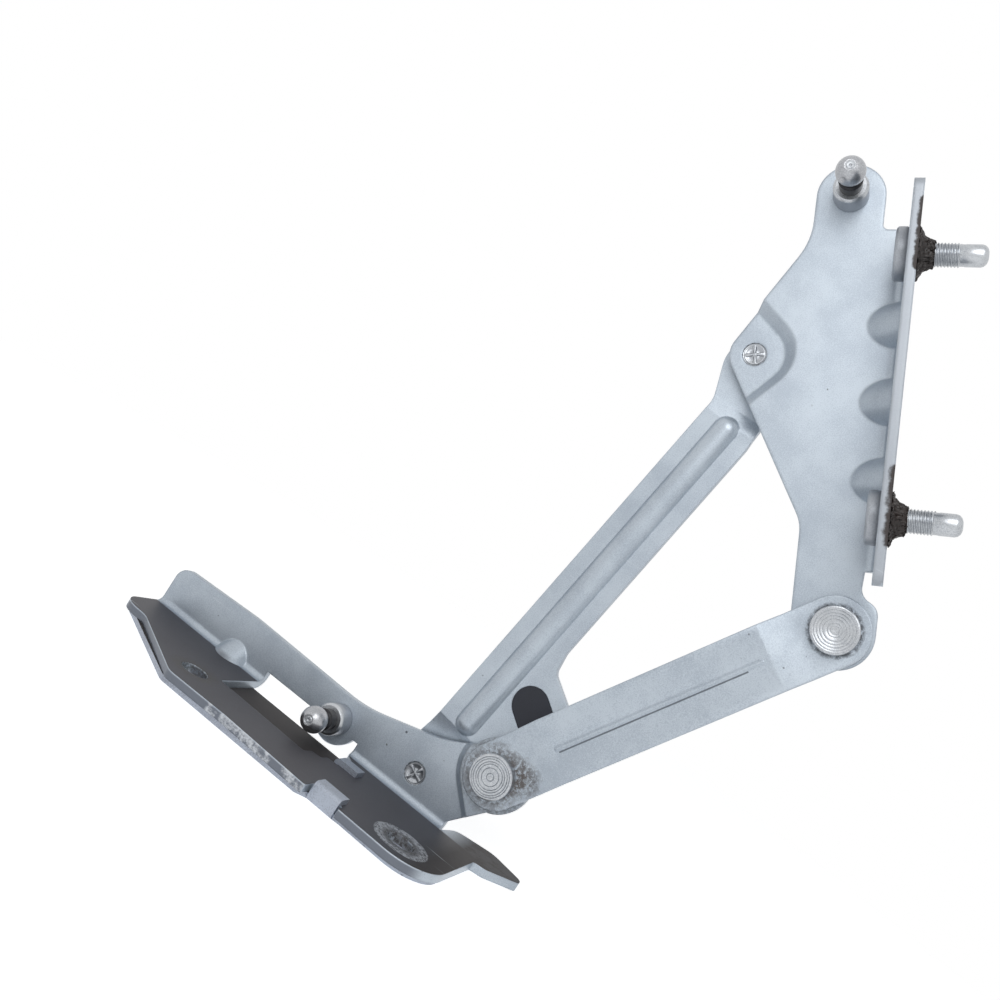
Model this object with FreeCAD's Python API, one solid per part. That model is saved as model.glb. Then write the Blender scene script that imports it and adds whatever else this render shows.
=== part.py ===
import FreeCAD, Part
import math
import os

# Four-bar hinge of a vehicle lid, in the raised position. Millimetres.
# Two sheet brackets, one for the body and one for the lid, are joined by a long link behind
# the side plate and a short link in front of it, on four shouldered rivets.
# X runs along the base flange, Y away from the side that shows the rivet heads, Z up.
# The origin is midway between the two base bolt holes, on the underside of the base.

# Sheets and running gaps
bracket_sheet = 3.2
under_plate_sheet = 2.0
link_sheet = 3.0
bend_inner_radius = 2.5
long_washer_thickness = 2.2
short_washer_thickness = 0.9
face_gap = 0.1
bore_clearance = 0.05
sweep_gap = 0.3

# Pivots and lengths of the four-bar linkage
long_pivot_x = 29.0
long_pivot_z = 14.6
short_pivot_x = 56.2
short_pivot_z = 33.5
long_link_length = 193.7
short_link_length = 125.8
long_link_open_angle = 83.7
lid_pivot_x = 37.3
lid_pivot_z = -93.3

# Base bracket
plate_front_y = 38.0
plate_left_x = -100.9
plate_right_x = 48.4
plate_nose_x = 62.8
plate_nose_z = 23.9
plate_left_top_z = 21.9
plate_waist_x = -2.0
plate_waist_z = 22.0
pad_step = 4.5
pad_flat_radius = 14.0
pad_slope_width = 3.0
pad_boss_radius = 13.3
flange_front_y = -15.4
flange_right_x = 66.4
flange_shoulder_x = -86.5
flange_shoulder_y = 12.3
bolt_spacing = 98.0
bolt_hole_radius = 5.25
window_left_x = -43.0
window_right_x = 4.2
window_top_z = 9.7
window_front_y = 8.3
ball_lobe_x = -7.8
ball_lobe_z = 12.6
ball_lobe_radius = 9.8
tongue_right_x = 81.5
tongue_back_y = 52.3
base_gusset_x = -60.0
base_gusset_radius = 8.5
base_gusset_reach = 7.1

# Under-plate with its two folded tabs
under_plate_left_x = -98.6
under_plate_back_y = 35.5
front_tab_x = 23.0
front_tab_width = 11.0
front_tab_lap = 6.3
front_tab_setback = 2.9
window_tab_y = 22.6
window_tab_width = 5.8
window_tab_lap = 10.0

# Rivets and bushes
rivet_head_radius = 8.0
rivet_head_height = 4.0
rivet_head_crown = 0.7
rivet_shoulder_radius = 5.5
rivet_tenon_radius = 4.05
rivet_tail_radius = 5.2
rivet_tail_height = 1.0
bush_wall = 1.0
washer_outer_radius = 8.6

# Long link, measured along and across the line between its pivots
long_link_end_radius = 9.4
channel_start = 22.3
channel_end_margin = 24.4
channel_slope = 6.0
channel_left_start = 8.3
channel_left_end = 2.7
channel_right_start = -12.7
channel_right_end = -18.4
link_shoulder = 12.0
bead_rise = 3.0
bead_half_width = 4.7
bead_start = 26.2
bead_start_v = -2.7
bead_end_margin = 26.9
bead_end_v = -8.0
buffer_radius = 7.1
buffer_slot_u = 46.4
buffer_slot_v = -16.6
buffer_slot_length = 12.0
buffer_slot_angle = -120.0
buffer_wall = 6.5
buffer_height = 5.0
buffer_lip = 1.2

# Short link
short_link_end_radius = 11.7
short_body_rise = 3.5
short_body_start = 21.8
short_body_end_margin = 21.8
short_body_slope = 9.0
short_valley_depth = 0.9
short_valley_half_width = 9.0
short_rib_height = 0.6
short_rib_half_width = 0.9
short_rib_inset = 3.0

# Lid bracket, measured across and along its studded flange from the long link's pivot
lid_flange_inner_x = 47.0
lid_flange_depth = 45.0
lid_flange_top_z = 45.4
lid_flange_bottom_z = -72.6
lid_flange_tip_z = -81.3
lid_pad_radius = 10.4
lid_pad_slope_width = 3.9
lid_pad_edge_radius = 8.8
lid_ball_x = 26.8
lid_ball_z = 57.4
lid_ball_boss_radius = 11.6
lid_boss_radius = 12.6
lid_gusset_radius = 8.5
lid_gusset_reach = 10.2
lid_gusset_places = (11.2, -15.5, -42.6)
lid_stud_depth = 17.5
upper_stud_z = 29.6
lower_stud_z = -57.3

# Studs
ball_radius = 5.0
ball_distance = 19.2
ball_collar_radius = 6.0
ball_collar_length = 8.2
ball_collar_chamfer = 0.9
ball_neck_radius = 4.0
ball_groove_radius = 3.4
ball_groove_length = 2.4
ball_tip_radius = 2.0
ball_tenon_radius = 4.0
lid_stud_radius = 4.0
lid_stud_tenon_radius = 4.4
lid_stud_length = 21.4
lid_stud_point_length = 6.9
lid_stud_point_radius = 3.3
lid_stud_tip_round = 1.8
lid_stud_head_radius = 8.8
lid_stud_head_height = 3.9

# Levels across the hinge, from the front of the base plate
plate_back_y = plate_front_y + bracket_sheet
flange_top_z = under_plate_sheet + bracket_sheet
pad_front_y = plate_front_y - pad_step
pad_back_y = pad_front_y + bracket_sheet
long_end_front_y = plate_back_y + long_washer_thickness + face_gap
long_end_back_y = long_end_front_y + link_sheet
channel_front_y = plate_back_y + sweep_gap
channel_end = long_link_length - channel_end_margin
bead_front_y = channel_front_y - bead_rise
short_end_back_y = pad_front_y - short_washer_thickness - face_gap
short_body_end = short_link_length - short_body_end_margin
short_rib_start = short_body_start + short_rib_inset
short_rib_end = short_body_end - short_rib_inset
short_end_front_y = short_end_back_y - link_sheet
short_body_front_y = short_end_front_y - short_body_rise
bend_outer_radius = bend_inner_radius + bracket_sheet
cut_reach = 200.0

up = FreeCAD.Vector(0, 0, 1)
back = FreeCAD.Vector(0, 1, 0)


def plane_point(a, b, level, plane):
    """Point with coordinates a and b on the plane y = level or z = level."""
    if plane == "y":
        return FreeCAD.Vector(a, level, b)
    return FreeCAD.Vector(a, b, level)


def rounded_wire(corners, level, plane="y"):
    """Closed wire through corners (a, b, radius), with an arc at each corner that has a radius."""
    flat = [FreeCAD.Vector(a, b, 0) for a, b, radius in corners]
    turns = []
    for index, corner in enumerate(corners):
        here = flat[index]
        to_last = (flat[index - 1] - here).normalize()
        to_next = (flat[(index + 1) % len(flat)] - here).normalize()
        half_angle = to_last.getAngle(to_next) / 2
        radius = corner[2]
        reach = radius / math.tan(half_angle)
        middle = (to_last + to_next).normalize() * (radius / math.sin(half_angle) - radius)
        turns.append([here + to_last * reach, here + middle, here + to_next * reach])
    edges = []
    for index, turn in enumerate(turns):
        start, middle, end = [plane_point(point.x, point.y, level, plane) for point in turn]
        if corners[index][2] > 0:
            edges.append(Part.Arc(start, middle, end).toShape())
        following = turns[(index + 1) % len(turns)][0]
        target = plane_point(following.x, following.y, level, plane)
        if end.distanceToPoint(target) > 1e-6:
            edges.append(Part.LineSegment(end, target).toShape())
    return Part.Wire(edges)


def prism(corners, start, end, plane="y"):
    """Straight prism of a rounded outline between two levels."""
    direction = back if plane == "y" else up
    face = Part.Face(rounded_wire(corners, start, plane))
    return face.extrude(direction * (end - start))


def block(x_start, x_end, y_start, y_end, z_start, z_end):
    """Box between two corners."""
    corner = FreeCAD.Vector(x_start, y_start, z_start)
    return Part.makeBox(x_end - x_start, y_end - y_start, z_end - z_start, corner)


def disc(x, z, radius, y_start, y_end):
    """Cylinder along Y between two levels."""
    return Part.makeCylinder(radius, y_end - y_start, FreeCAD.Vector(x, y_start, z), back)


def press(sheet, form, thickness):
    """Sheet pressed toward the front by a form that stands on its front face."""
    hollow = form.translated(back * thickness)
    return sheet.fuse(form).cut(hollow)


def taper(outer_corners, outer_level, inner_corners, inner_level):
    """Solid with straight flanks between two outlines of the same build."""
    outer = rounded_wire(outer_corners, outer_level)
    inner = rounded_wire(inner_corners, inner_level)
    return Part.makeLoft([outer, inner], True, True)


def capsule(x, z, angle, length, radius):
    """Corners of a capsule that starts at a point and runs along an angle in degrees."""
    along = FreeCAD.Vector(math.cos(math.radians(angle)), math.sin(math.radians(angle)), 0)
    across = FreeCAD.Vector(-along.y, along.x, 0)
    near = FreeCAD.Vector(x, z, 0) - along * radius
    far = FreeCAD.Vector(x, z, 0) + along * (length + radius)
    ends = [near + across * radius, far + across * radius, far - across * radius, near - across * radius]
    return [(end.x, end.y, radius) for end in ends]


def placed(shape, x, z, angle):
    """Shape moved from its own frame to a pivot, turned about the pivot's axis."""
    turn = FreeCAD.Rotation(FreeCAD.Vector(0, -1, 0), angle)
    moved = shape.copy()
    moved.Placement = FreeCAD.Placement(FreeCAD.Vector(x, 0, z), turn)
    return moved


def direction_to(x_start, z_start, x_end, z_end):
    """Angle in degrees from one point to another, from +X toward +Z."""
    return math.degrees(math.atan2(z_end - z_start, x_end - x_start))


def solve_linkage():
    """Place the lid's two pivots and give the angles of the short link and the lid."""
    lead = math.radians(long_link_open_angle)
    lid_x = long_pivot_x + long_link_length * math.cos(lead)
    lid_z = long_pivot_z + long_link_length * math.sin(lead)
    spacing = math.hypot(lid_pivot_x, lid_pivot_z)
    apart = math.hypot(short_pivot_x - lid_x, short_pivot_z - lid_z)
    along = (spacing ** 2 - short_link_length ** 2 + apart ** 2) / (2 * apart)
    aside = math.sqrt(spacing ** 2 - along ** 2)
    unit_x = (short_pivot_x - lid_x) / apart
    unit_z = (short_pivot_z - lid_z) / apart
    low_x = lid_x + along * unit_x - aside * unit_z
    low_z = lid_z + along * unit_z + aside * unit_x
    lid_angle = direction_to(lid_x, lid_z, low_x, low_z) - direction_to(0, 0, lid_pivot_x, lid_pivot_z)
    short_angle = direction_to(short_pivot_x, short_pivot_z, low_x, low_z)
    return lid_x, lid_z, low_x, low_z, lid_angle, short_angle


lid_x, lid_z, low_x, low_z, lid_angle, short_angle = solve_linkage()


def bend_sheet(inner_corner_x, front_y, start_z, end_z):
    """Quarter bend of the lid bracket from its plate to a flange that points to the front."""
    centre_x = inner_corner_x - bend_inner_radius
    centre_y = front_y - bend_inner_radius
    base = FreeCAD.Vector(centre_x, centre_y, start_z)
    ring = Part.makeCylinder(bend_outer_radius, end_z - start_z, base, up)
    ring = ring.cut(Part.makeCylinder(bend_inner_radius, end_z - start_z, base, up))
    quarter = block(centre_x, centre_x + 2 * bend_outer_radius, centre_y,
                    centre_y + 2 * bend_outer_radius, start_z, end_z)
    return ring.common(quarter)


def gusset(sheet, corner, inward_a, inward_b, radius, reach, thickness):
    """Rounded stiffener pressed across the inner corner of a bend."""
    ridge = corner + inward_a * (reach / 2) + inward_b * (reach / 2)
    outward = (inward_a + inward_b).normalize() * -1
    along = (inward_a - inward_b).normalize()
    length = 4 * radius
    start = ridge + outward * radius - along * (length / 2)
    bulge = Part.makeCylinder(radius, length, start, along)
    pocket = Part.makeCylinder(radius - thickness, length, start, along)
    side = inward_a.cross(inward_b).normalize()
    room = Part.Face(Part.makePolygon([
        corner - side * radius, corner + inward_a * 2 * radius - side * radius,
        corner + (inward_a + inward_b) * 2 * radius - side * radius,
        corner + inward_b * 2 * radius - side * radius, corner - side * radius]))
    room = room.extrude(side * 2 * radius)
    return sheet.fuse(bulge.common(room)).cut(pocket)


def base_bracket():
    """Base flange with its side plate, raised pivot pad, window, gusset, notch and tongue."""
    bend_top_z = flange_top_z + bend_inner_radius
    bend_front_y = plate_front_y - bend_inner_radius

    # Side plate, with a pad pressed forward round the short link's pivot
    plate = prism([
        (plate_left_x, bend_top_z, 0),
        (plate_left_x, plate_left_top_z, 5.5),
        (-60.0, 23.5, 150.0),
        (plate_waist_x, plate_waist_z, 60.0),
        (33.0, 31.0, 45.0),
        (46.5, 39.8, 0),
        (short_pivot_x, short_pivot_z, 0),
        (plate_nose_x, plate_nose_z, 0),
        (plate_right_x, bend_top_z, 0),
    ], pad_front_y, plate_back_y)
    plate = plate.fuse(disc(short_pivot_x, short_pivot_z, pad_boss_radius, pad_front_y, plate_back_y))
    room = block(plate_left_x, short_pivot_x + cut_reach, plate_front_y, plate_back_y, 0, cut_reach)
    pad = taper(
        capsule(short_pivot_x, short_pivot_z, -45.4, 20.0, pad_flat_radius + pad_slope_width),
        plate_front_y,
        capsule(short_pivot_x, short_pivot_z, -45.4, 20.0, pad_flat_radius),
        pad_front_y)
    plate = plate.common(press(room, pad, bracket_sheet))

    # Bend along the foot of the plate
    start = FreeCAD.Vector(plate_left_x, bend_front_y, bend_top_z)
    bend_length = plate_right_x - plate_left_x
    along = FreeCAD.Vector(1, 0, 0)
    bend = Part.makeCylinder(bend_outer_radius, bend_length, start, along)
    bend = bend.cut(Part.makeCylinder(bend_inner_radius, bend_length, start, along))
    bend = bend.common(block(plate_left_x, plate_right_x, bend_front_y, plate_back_y,
                             under_plate_sheet, bend_top_z))

    # Flange, with a slanted left end, a rounded right end and a tongue behind the plate
    notch_depth = front_tab_setback + under_plate_sheet + face_gap
    notch_half = front_tab_width / 2 + 1.0
    flange = prism([
        (plate_left_x, bend_front_y, 0),
        (plate_left_x, flange_shoulder_y + 0.7, 9.5),
        (flange_shoulder_x, flange_shoulder_y, 8.0),
        (-48.5, flange_front_y - 0.6, 6.0),
        (-22.0, flange_front_y + 0.7, 0),
        (front_tab_x - notch_half, flange_front_y - 1.2, 1.0),
        (front_tab_x - notch_half, flange_front_y + notch_depth, 0.8),
        (front_tab_x + notch_half, flange_front_y + notch_depth, 0.8),
        (front_tab_x + notch_half, flange_front_y + 1.4, 0.6),
        (flange_right_x, flange_front_y + 1.0, 17.0),
        (flange_right_x, 31.0, 1.5),
        (71.0, 32.5, 4.0),
        (tongue_right_x, 44.0, 2.5),
        (tongue_right_x - 1.0, 48.0, 3.0),
        (66.5, tongue_back_y, 8.0),
        (51.5, 46.5, 7.0),
        (plate_right_x + 0.6, bend_front_y, 0),
    ], under_plate_sheet, flange_top_z, "z")
    bracket = plate.fuse(bend).fuse(flange)

    # Gusset in the inner corner
    corner = FreeCAD.Vector(base_gusset_x, plate_front_y, flange_top_z)
    front = back * -1
    bracket = gusset(bracket, corner, front, up, base_gusset_radius, base_gusset_reach, bracket_sheet)

    # Window across the bend, with the ball stud's lobe hanging into it
    window = prism([
        (window_left_x, window_front_y + 1.0, 1.5),
        (-14.0, window_front_y + 0.2, 0),
        (-0.3, window_front_y - 0.4, 1.0),
        (0.3, 13.0, 1.0),
        (window_right_x, 13.8, 1.0),
        (window_right_x + 0.4, 18.4, 1.0),
        (window_right_x + 4.8, 18.9, 0.7),
        (window_right_x + 4.8, 31.0, 3.0),
        (window_right_x, plate_front_y - 2.0, 2.0),
        (window_right_x, plate_back_y + 5.0, 0),
        (window_left_x, plate_back_y + 5.0, 0),
    ], 0, window_top_z, "z")
    lobe = disc(ball_lobe_x, ball_lobe_z, ball_lobe_radius, plate_front_y, plate_back_y)
    bracket = bracket.cut(window.cut(lobe))

    # Bolt holes and the two holes for the studs' tenons
    for x in (-bolt_spacing / 2, bolt_spacing / 2):
        hole = Part.makeCylinder(bolt_hole_radius, flange_top_z, FreeCAD.Vector(x, 0, 0), up)
        bracket = bracket.cut(hole)
    bracket = bracket.cut(disc(ball_lobe_x, ball_lobe_z, ball_tenon_radius, 0, cut_reach))
    for x, z in ((long_pivot_x, long_pivot_z), (short_pivot_x, short_pivot_z)):
        bracket = bracket.cut(disc(x, z, rivet_tenon_radius, 0, cut_reach))
    return bracket.removeSplitter()


def base_under_plate():
    """Thin plate under the flange, held by two tabs folded over the flange's top."""
    plate = prism([
        (under_plate_left_x, under_plate_back_y, 1.0),
        (under_plate_left_x, 19.0, 3.0),
        (-50.5, flange_front_y + 0.6, 6.0),
        (front_tab_x - front_tab_width / 2 - 4.0, flange_front_y + 1.2, 1.5),
        (front_tab_x - front_tab_width / 2, flange_front_y + front_tab_setback + 1.5, 0),
        (front_tab_x + front_tab_width / 2, flange_front_y + front_tab_setback + 1.5, 0),
        (front_tab_x + front_tab_width / 2 + 3.0, flange_front_y + front_tab_setback + 1.9, 1.5),
        (flange_right_x - 1.4, flange_front_y + 4.0, 15.0),
        (flange_right_x - 1.4, under_plate_back_y, 2.0),
    ], 0, under_plate_sheet, "z")

    # Front tab: out through the notch, up and back over the flange
    tab_top_z = flange_top_z + under_plate_sheet
    leg_front_y = flange_front_y + front_tab_setback
    leg_back_y = leg_front_y + under_plate_sheet
    profile = [
        (leg_back_y + 3.0, 0), (leg_front_y, 0), (leg_front_y, tab_top_z),
        (leg_front_y + front_tab_lap, tab_top_z), (leg_front_y + front_tab_lap, flange_top_z),
        (leg_back_y, flange_top_z), (leg_back_y, under_plate_sheet),
        (leg_back_y + 3.0, under_plate_sheet),
    ]
    left_x = front_tab_x - front_tab_width / 2
    points = [FreeCAD.Vector(left_x, y, z) for y, z in profile]
    tab = Part.Face(Part.makePolygon(points + points[:1])).extrude(FreeCAD.Vector(front_tab_width, 0, 0))
    folds = [edge for edge in tab.Edges
             if abs(edge.Length - front_tab_width) < 1e-6
             and abs(edge.CenterOfMass.y - leg_front_y) < 1e-6]
    tab = tab.makeFillet(under_plate_sheet * 0.9, folds)

    # Window tab: up through the window's right end and over the flange
    leg_right_x = window_right_x + 4.8
    leg_left_x = leg_right_x - under_plate_sheet
    low_y = window_tab_y - window_tab_width / 2
    profile = [
        (leg_left_x, 0), (leg_right_x, 0), (leg_right_x, flange_top_z),
        (leg_left_x + window_tab_lap, flange_top_z), (leg_left_x + window_tab_lap, tab_top_z),
        (leg_left_x, tab_top_z),
    ]
    points = [FreeCAD.Vector(x, low_y, z) for x, z in profile]
    hook = Part.Face(Part.makePolygon(points + points[:1]))
    hook = hook.extrude(FreeCAD.Vector(0, window_tab_width, 0))
    fold = [edge for edge in hook.Edges
            if abs(edge.Length - window_tab_width) < 1e-6
            and abs(edge.CenterOfMass.x - leg_left_x) < 1e-6
            and abs(edge.CenterOfMass.z - tab_top_z) < 1e-6]
    hook = hook.makeFillet(under_plate_sheet * 0.9, fold)

    plate = plate.fuse(tab).fuse(hook)
    for x in (-bolt_spacing / 2, bolt_spacing / 2):
        hole = Part.makeCylinder(bolt_hole_radius, flange_top_z, FreeCAD.Vector(x, 0, 0), up)
        plate = plate.cut(hole)
    return plate.removeSplitter()


def link_hole_radius():
    """Radius of the hole in a link's end, which holds the bush."""
    return rivet_shoulder_radius + bore_clearance + bush_wall


def half_round_bead(start_u, start_v, end_u, end_v):
    """Round ridge with domed ends, in front of the link's set-back ends."""
    radius = (bead_half_width ** 2 + bead_rise ** 2) / (2 * bead_rise)
    middle_y = bead_front_y + radius
    start = FreeCAD.Vector(start_u, middle_y, start_v)
    end = FreeCAD.Vector(end_u, middle_y, end_v)
    along = (end - start).normalize()
    tips = [start - along * radius, end + along * radius]
    crests = [start - back * radius, end - back * radius]
    corner = (back + along).normalize() * radius
    first_turn = Part.Arc(tips[0], start - corner, crests[0]).toShape()
    second_turn = Part.Arc(crests[1], end + (along - back).normalize() * radius, tips[1]).toShape()
    crest = Part.LineSegment(crests[0], crests[1]).toShape()
    axis = Part.LineSegment(tips[1], tips[0]).toShape()
    outline = Part.Face(Part.Wire([first_turn, crest, second_turn, axis]))
    ridge = outline.revolve(start, along, 360)
    front = block(start_u - 2 * radius, end_u + 2 * radius, bead_front_y - 1.0, long_end_front_y,
                  end_v - 2 * radius, start_v + 2 * radius)
    return ridge.common(front)


def long_link():
    """Long link as a shallow channel with a bead, offset to one side, and a heel for the buffer."""
    right_end = channel_right_end
    slot_angle = math.radians(buffer_slot_angle)
    heel_u = buffer_slot_u + buffer_slot_length * math.cos(slot_angle)
    heel_v = buffer_slot_v + buffer_slot_length * math.sin(slot_angle)
    heel_radius = buffer_radius + buffer_wall
    body = prism([
        (-long_link_end_radius, long_link_end_radius + 0.8, long_link_end_radius),
        (link_shoulder, long_link_end_radius + 0.8, 10.0),
        (channel_start, channel_left_start, 4.0),
        (channel_end + 3.0, channel_left_end - 0.2, 12.0),
        (long_link_length - 6.0, long_link_end_radius, 12.0),
        (long_link_length + long_link_end_radius, long_link_end_radius, long_link_end_radius),
        (long_link_length + long_link_end_radius, -long_link_end_radius, long_link_end_radius),
        (long_link_length - 7.0, -long_link_end_radius - 1.0, 12.0),
        (channel_end + 5.0, right_end + 0.8, 4.0),
        (channel_end - 4.0, right_end, 4.0),
        (69.0, right_end + 3.7, 9.0),
        (61.2, right_end + 2.2, 4.0),
        (46.0, heel_v - heel_radius - 3.0, 12.0),
        (24.0, heel_v - 7.0, 11.0),
        (20.0, channel_right_start, 10.0),
        (-long_link_end_radius, -long_link_end_radius, long_link_end_radius),
    ], bead_front_y, long_end_back_y)

    # Channel pressed forward between the two ends, and the bead pressed forward along it
    wide = 60.0
    room = block(-wide, long_link_length + wide, long_end_front_y, long_end_back_y, -wide, wide)
    low = channel_start - channel_slope
    high = channel_end + channel_slope
    channel = taper(
        [(low, -wide, 0), (high, -wide, 0), (high, wide, 0), (low, wide, 0)], long_end_front_y,
        [(channel_start, -wide, 0), (channel_end, -wide, 0),
         (channel_end, wide, 0), (channel_start, wide, 0)], channel_front_y)
    bead = half_round_bead(bead_start, bead_start_v, long_link_length - bead_end_margin, bead_end_v)
    link = body.common(press(room, channel.fuse(bead), link_sheet))

    # Slot for the buffer and the two holes for the bushes
    slot = prism(capsule(buffer_slot_u, buffer_slot_v, buffer_slot_angle, buffer_slot_length,
                         buffer_radius), 0, cut_reach)
    link = link.cut(slot)
    for u in (0, long_link_length):
        link = link.cut(disc(u, 0, link_hole_radius(), 0, cut_reach))
    return link.removeSplitter()


def long_link_buffer():
    """Rubber buffer that fills the slot in the long link's heel, with a lip behind it."""
    front = channel_front_y
    rear = channel_front_y + link_sheet
    plug = prism(capsule(buffer_slot_u, buffer_slot_v, buffer_slot_angle, buffer_slot_length,
                         buffer_radius), front + 0.4, rear)
    lip = prism(capsule(buffer_slot_u, buffer_slot_v, buffer_slot_angle, buffer_slot_length,
                        buffer_radius + buffer_lip), rear, front + buffer_height)
    return plug.fuse(lip).removeSplitter()


def short_link():
    """Short link with both ends set back, and a shallow valley with a fine rib along its body."""
    body = prism(capsule(0, 0, 0, short_link_length, short_link_end_radius),
                 short_body_front_y - short_rib_height, short_end_back_y)
    wide = 60.0
    room = block(-wide, short_link_length + wide, short_end_front_y, short_end_back_y, -wide, wide)
    low = short_body_start - short_body_slope
    high = short_body_end + short_body_slope
    raised = taper(
        [(low, -wide, 0), (high, -wide, 0), (high, wide, 0), (low, wide, 0)], short_end_front_y,
        [(short_body_start, -wide, 0), (short_body_end, -wide, 0),
         (short_body_end, wide, 0), (short_body_start, wide, 0)], short_body_front_y)
    valley_start = short_rib_start - 2.0
    valley_end = short_rib_end + 2.0
    edge = short_valley_half_width
    valley = taper(
        [(valley_start, -edge, 0), (valley_end, -edge, 0),
         (valley_end, edge, 0), (valley_start, edge, 0)], short_body_front_y,
        [(short_rib_start, -1.0, 0), (short_rib_end, -1.0, 0),
         (short_rib_end, 1.0, 0), (short_rib_start, 1.0, 0)], short_body_front_y + short_valley_depth)
    link = press(room, raised, link_sheet)
    link = link.fuse(valley.translated(back * link_sheet)).cut(valley)
    foot = short_rib_half_width
    crest = short_rib_half_width * 0.4
    rib = taper(
        [(short_rib_start, -foot, 0), (short_rib_end, -foot, 0),
         (short_rib_end, foot, 0), (short_rib_start, foot, 0)],
        short_body_front_y + short_valley_depth + 0.3,
        [(short_rib_start, -crest, 0), (short_rib_end, -crest, 0),
         (short_rib_end, crest, 0), (short_rib_start, crest, 0)],
        short_body_front_y + short_valley_depth - short_rib_height)
    link = body.common(link.fuse(rib))
    for u in (0, short_link_length):
        link = link.cut(disc(u, 0, link_hole_radius(), 0, cut_reach))
    return link.removeSplitter()


def lid_bracket():
    """Lid bracket: plate with a set-back pivot pad, a ball boss, and a studded flange to the front."""
    boss = lid_ball_boss_radius
    bend_x = lid_flange_inner_x - bend_inner_radius
    pad_edge = lid_pad_edge_radius
    plate = prism([
        (-pad_edge * 1.166, 0.25, pad_edge),
        (lid_ball_x - boss, 40.7, 25.0),
        (lid_ball_x - boss, lid_ball_z + boss, boss),
        (lid_ball_x + boss, lid_ball_z + boss, boss),
        (lid_ball_x + boss, lid_flange_top_z, 1.8),
        (bend_x, lid_flange_top_z, 0),
        (bend_x, lid_flange_bottom_z, 1.5),
        (bend_x - 0.6, lid_flange_bottom_z - 8.0, 5.0),
        (lid_pivot_x + lid_boss_radius, lid_pivot_z + 9.0, 5.0),
        (lid_pivot_x + lid_boss_radius, lid_pivot_z - lid_boss_radius, lid_boss_radius),
        (22.8, lid_pivot_z - lid_boss_radius, lid_boss_radius),
        (22.3, -58.6, 14.0),
    ], pad_front_y, plate_back_y)
    room = block(-cut_reach, cut_reach, pad_front_y, pad_back_y, -cut_reach, cut_reach)
    foot = lid_pad_radius
    rim = lid_pad_radius + lid_pad_slope_width
    far = 40.0
    recess = taper(
        [(rim * 1.4142, 0, rim), (-far, far + rim * 1.4142, 0), (-far, -far - rim * 1.4142, 0)],
        pad_front_y,
        [(foot * 1.4142, 0, foot), (-far, far + foot * 1.4142, 0), (-far, -far - foot * 1.4142, 0)],
        plate_front_y)
    pressed = room.fuse(recess.translated(back * bracket_sheet)).cut(recess)
    plate = plate.common(pressed)

    # Bend and flange; the flange's lower end slants away from the plate
    bend = bend_sheet(lid_flange_inner_x, pad_front_y, lid_flange_bottom_z, lid_flange_top_z)
    flange_start_y = pad_front_y - bend_inner_radius
    flange_end_y = pad_front_y - (lid_flange_depth - pad_step)
    outline = [
        (flange_start_y, lid_flange_bottom_z, 0), (flange_end_y, lid_flange_tip_z, 3.0),
        (flange_end_y, lid_flange_top_z + 1.3, 4.0), (flange_start_y, lid_flange_top_z, 0),
    ]
    face = Part.Face(rounded_wire(outline, 0))
    flange = face.extrude(back * bracket_sheet)
    flange.Placement = FreeCAD.Placement(
        FreeCAD.Vector(lid_flange_inner_x + bracket_sheet, 0, 0), FreeCAD.Rotation(up, 90))
    bracket = plate.fuse(bend).fuse(flange)

    # Three gussets along the bend
    front = back * -1
    left = FreeCAD.Vector(-1, 0, 0)
    for z in lid_gusset_places:
        corner = FreeCAD.Vector(lid_flange_inner_x, pad_front_y, z)
        bracket = gusset(bracket, corner, front, left, lid_gusset_radius, lid_gusset_reach, bracket_sheet)

    # Holes for the rivets, the ball stud and the two flange studs
    for x, z, radius in ((0, 0, rivet_tenon_radius), (lid_pivot_x, lid_pivot_z, rivet_tenon_radius),
                         (lid_ball_x, lid_ball_z, ball_tenon_radius)):
        bracket = bracket.cut(disc(x, z, radius, 0, cut_reach))
    for z in (upper_stud_z, lower_stud_z):
        start = FreeCAD.Vector(bend_x, pad_front_y - lid_stud_depth, z)
        along = FreeCAD.Vector(1, 0, 0)
        hole = Part.makeCylinder(lid_stud_tenon_radius, 4 * bracket_sheet, start, along)
        bracket = bracket.cut(hole)
    return bracket.removeSplitter()


def turned(profile, x, z):
    """Turned piece along Y from a profile of (radius, y) points that starts and ends on the axis."""
    points = [FreeCAD.Vector(x + radius, y, z) for radius, y in profile]
    face = Part.Face(Part.makePolygon(points + points[:1]))
    return face.revolve(FreeCAD.Vector(x, 0, z), back, 360)


def rivet(x, z, head_y, seat_y, tenon_end_y, tail_end_y):
    """Shouldered rivet from the underside of its head, through its shoulder, to its closed end."""
    away = 1 if head_y > seat_y else -1
    top_y = head_y + away * rivet_head_height
    rim_y = top_y - away * rivet_head_crown
    profile = [
        (0, top_y), (rivet_head_radius - rivet_head_crown, top_y), (rivet_head_radius, rim_y),
        (rivet_head_radius, head_y), (rivet_shoulder_radius, head_y), (rivet_shoulder_radius, seat_y),
    ]
    if abs(tenon_end_y - seat_y) > 0:
        profile += [(rivet_tenon_radius, seat_y), (rivet_tenon_radius, tenon_end_y)]
    if abs(tail_end_y - tenon_end_y) > 0:
        profile += [(rivet_tail_radius, tenon_end_y), (rivet_tail_radius, tail_end_y)]
    profile.append((0, tail_end_y))
    return turned(profile, x, z)


def long_rivet(x, z):
    """Rivet of the long link: its head is behind the link and its end is flush in the plate."""
    return rivet(x, z, long_end_back_y + face_gap, plate_back_y, plate_front_y, plate_front_y)


def short_lid_rivet():
    """Rivet of the short link on the lid: its head is in front and its tail closes behind the plate."""
    tail_end_y = pad_back_y + rivet_tail_height
    return rivet(low_x, low_z, short_end_front_y - face_gap, pad_front_y, pad_back_y, tail_end_y)


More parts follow.
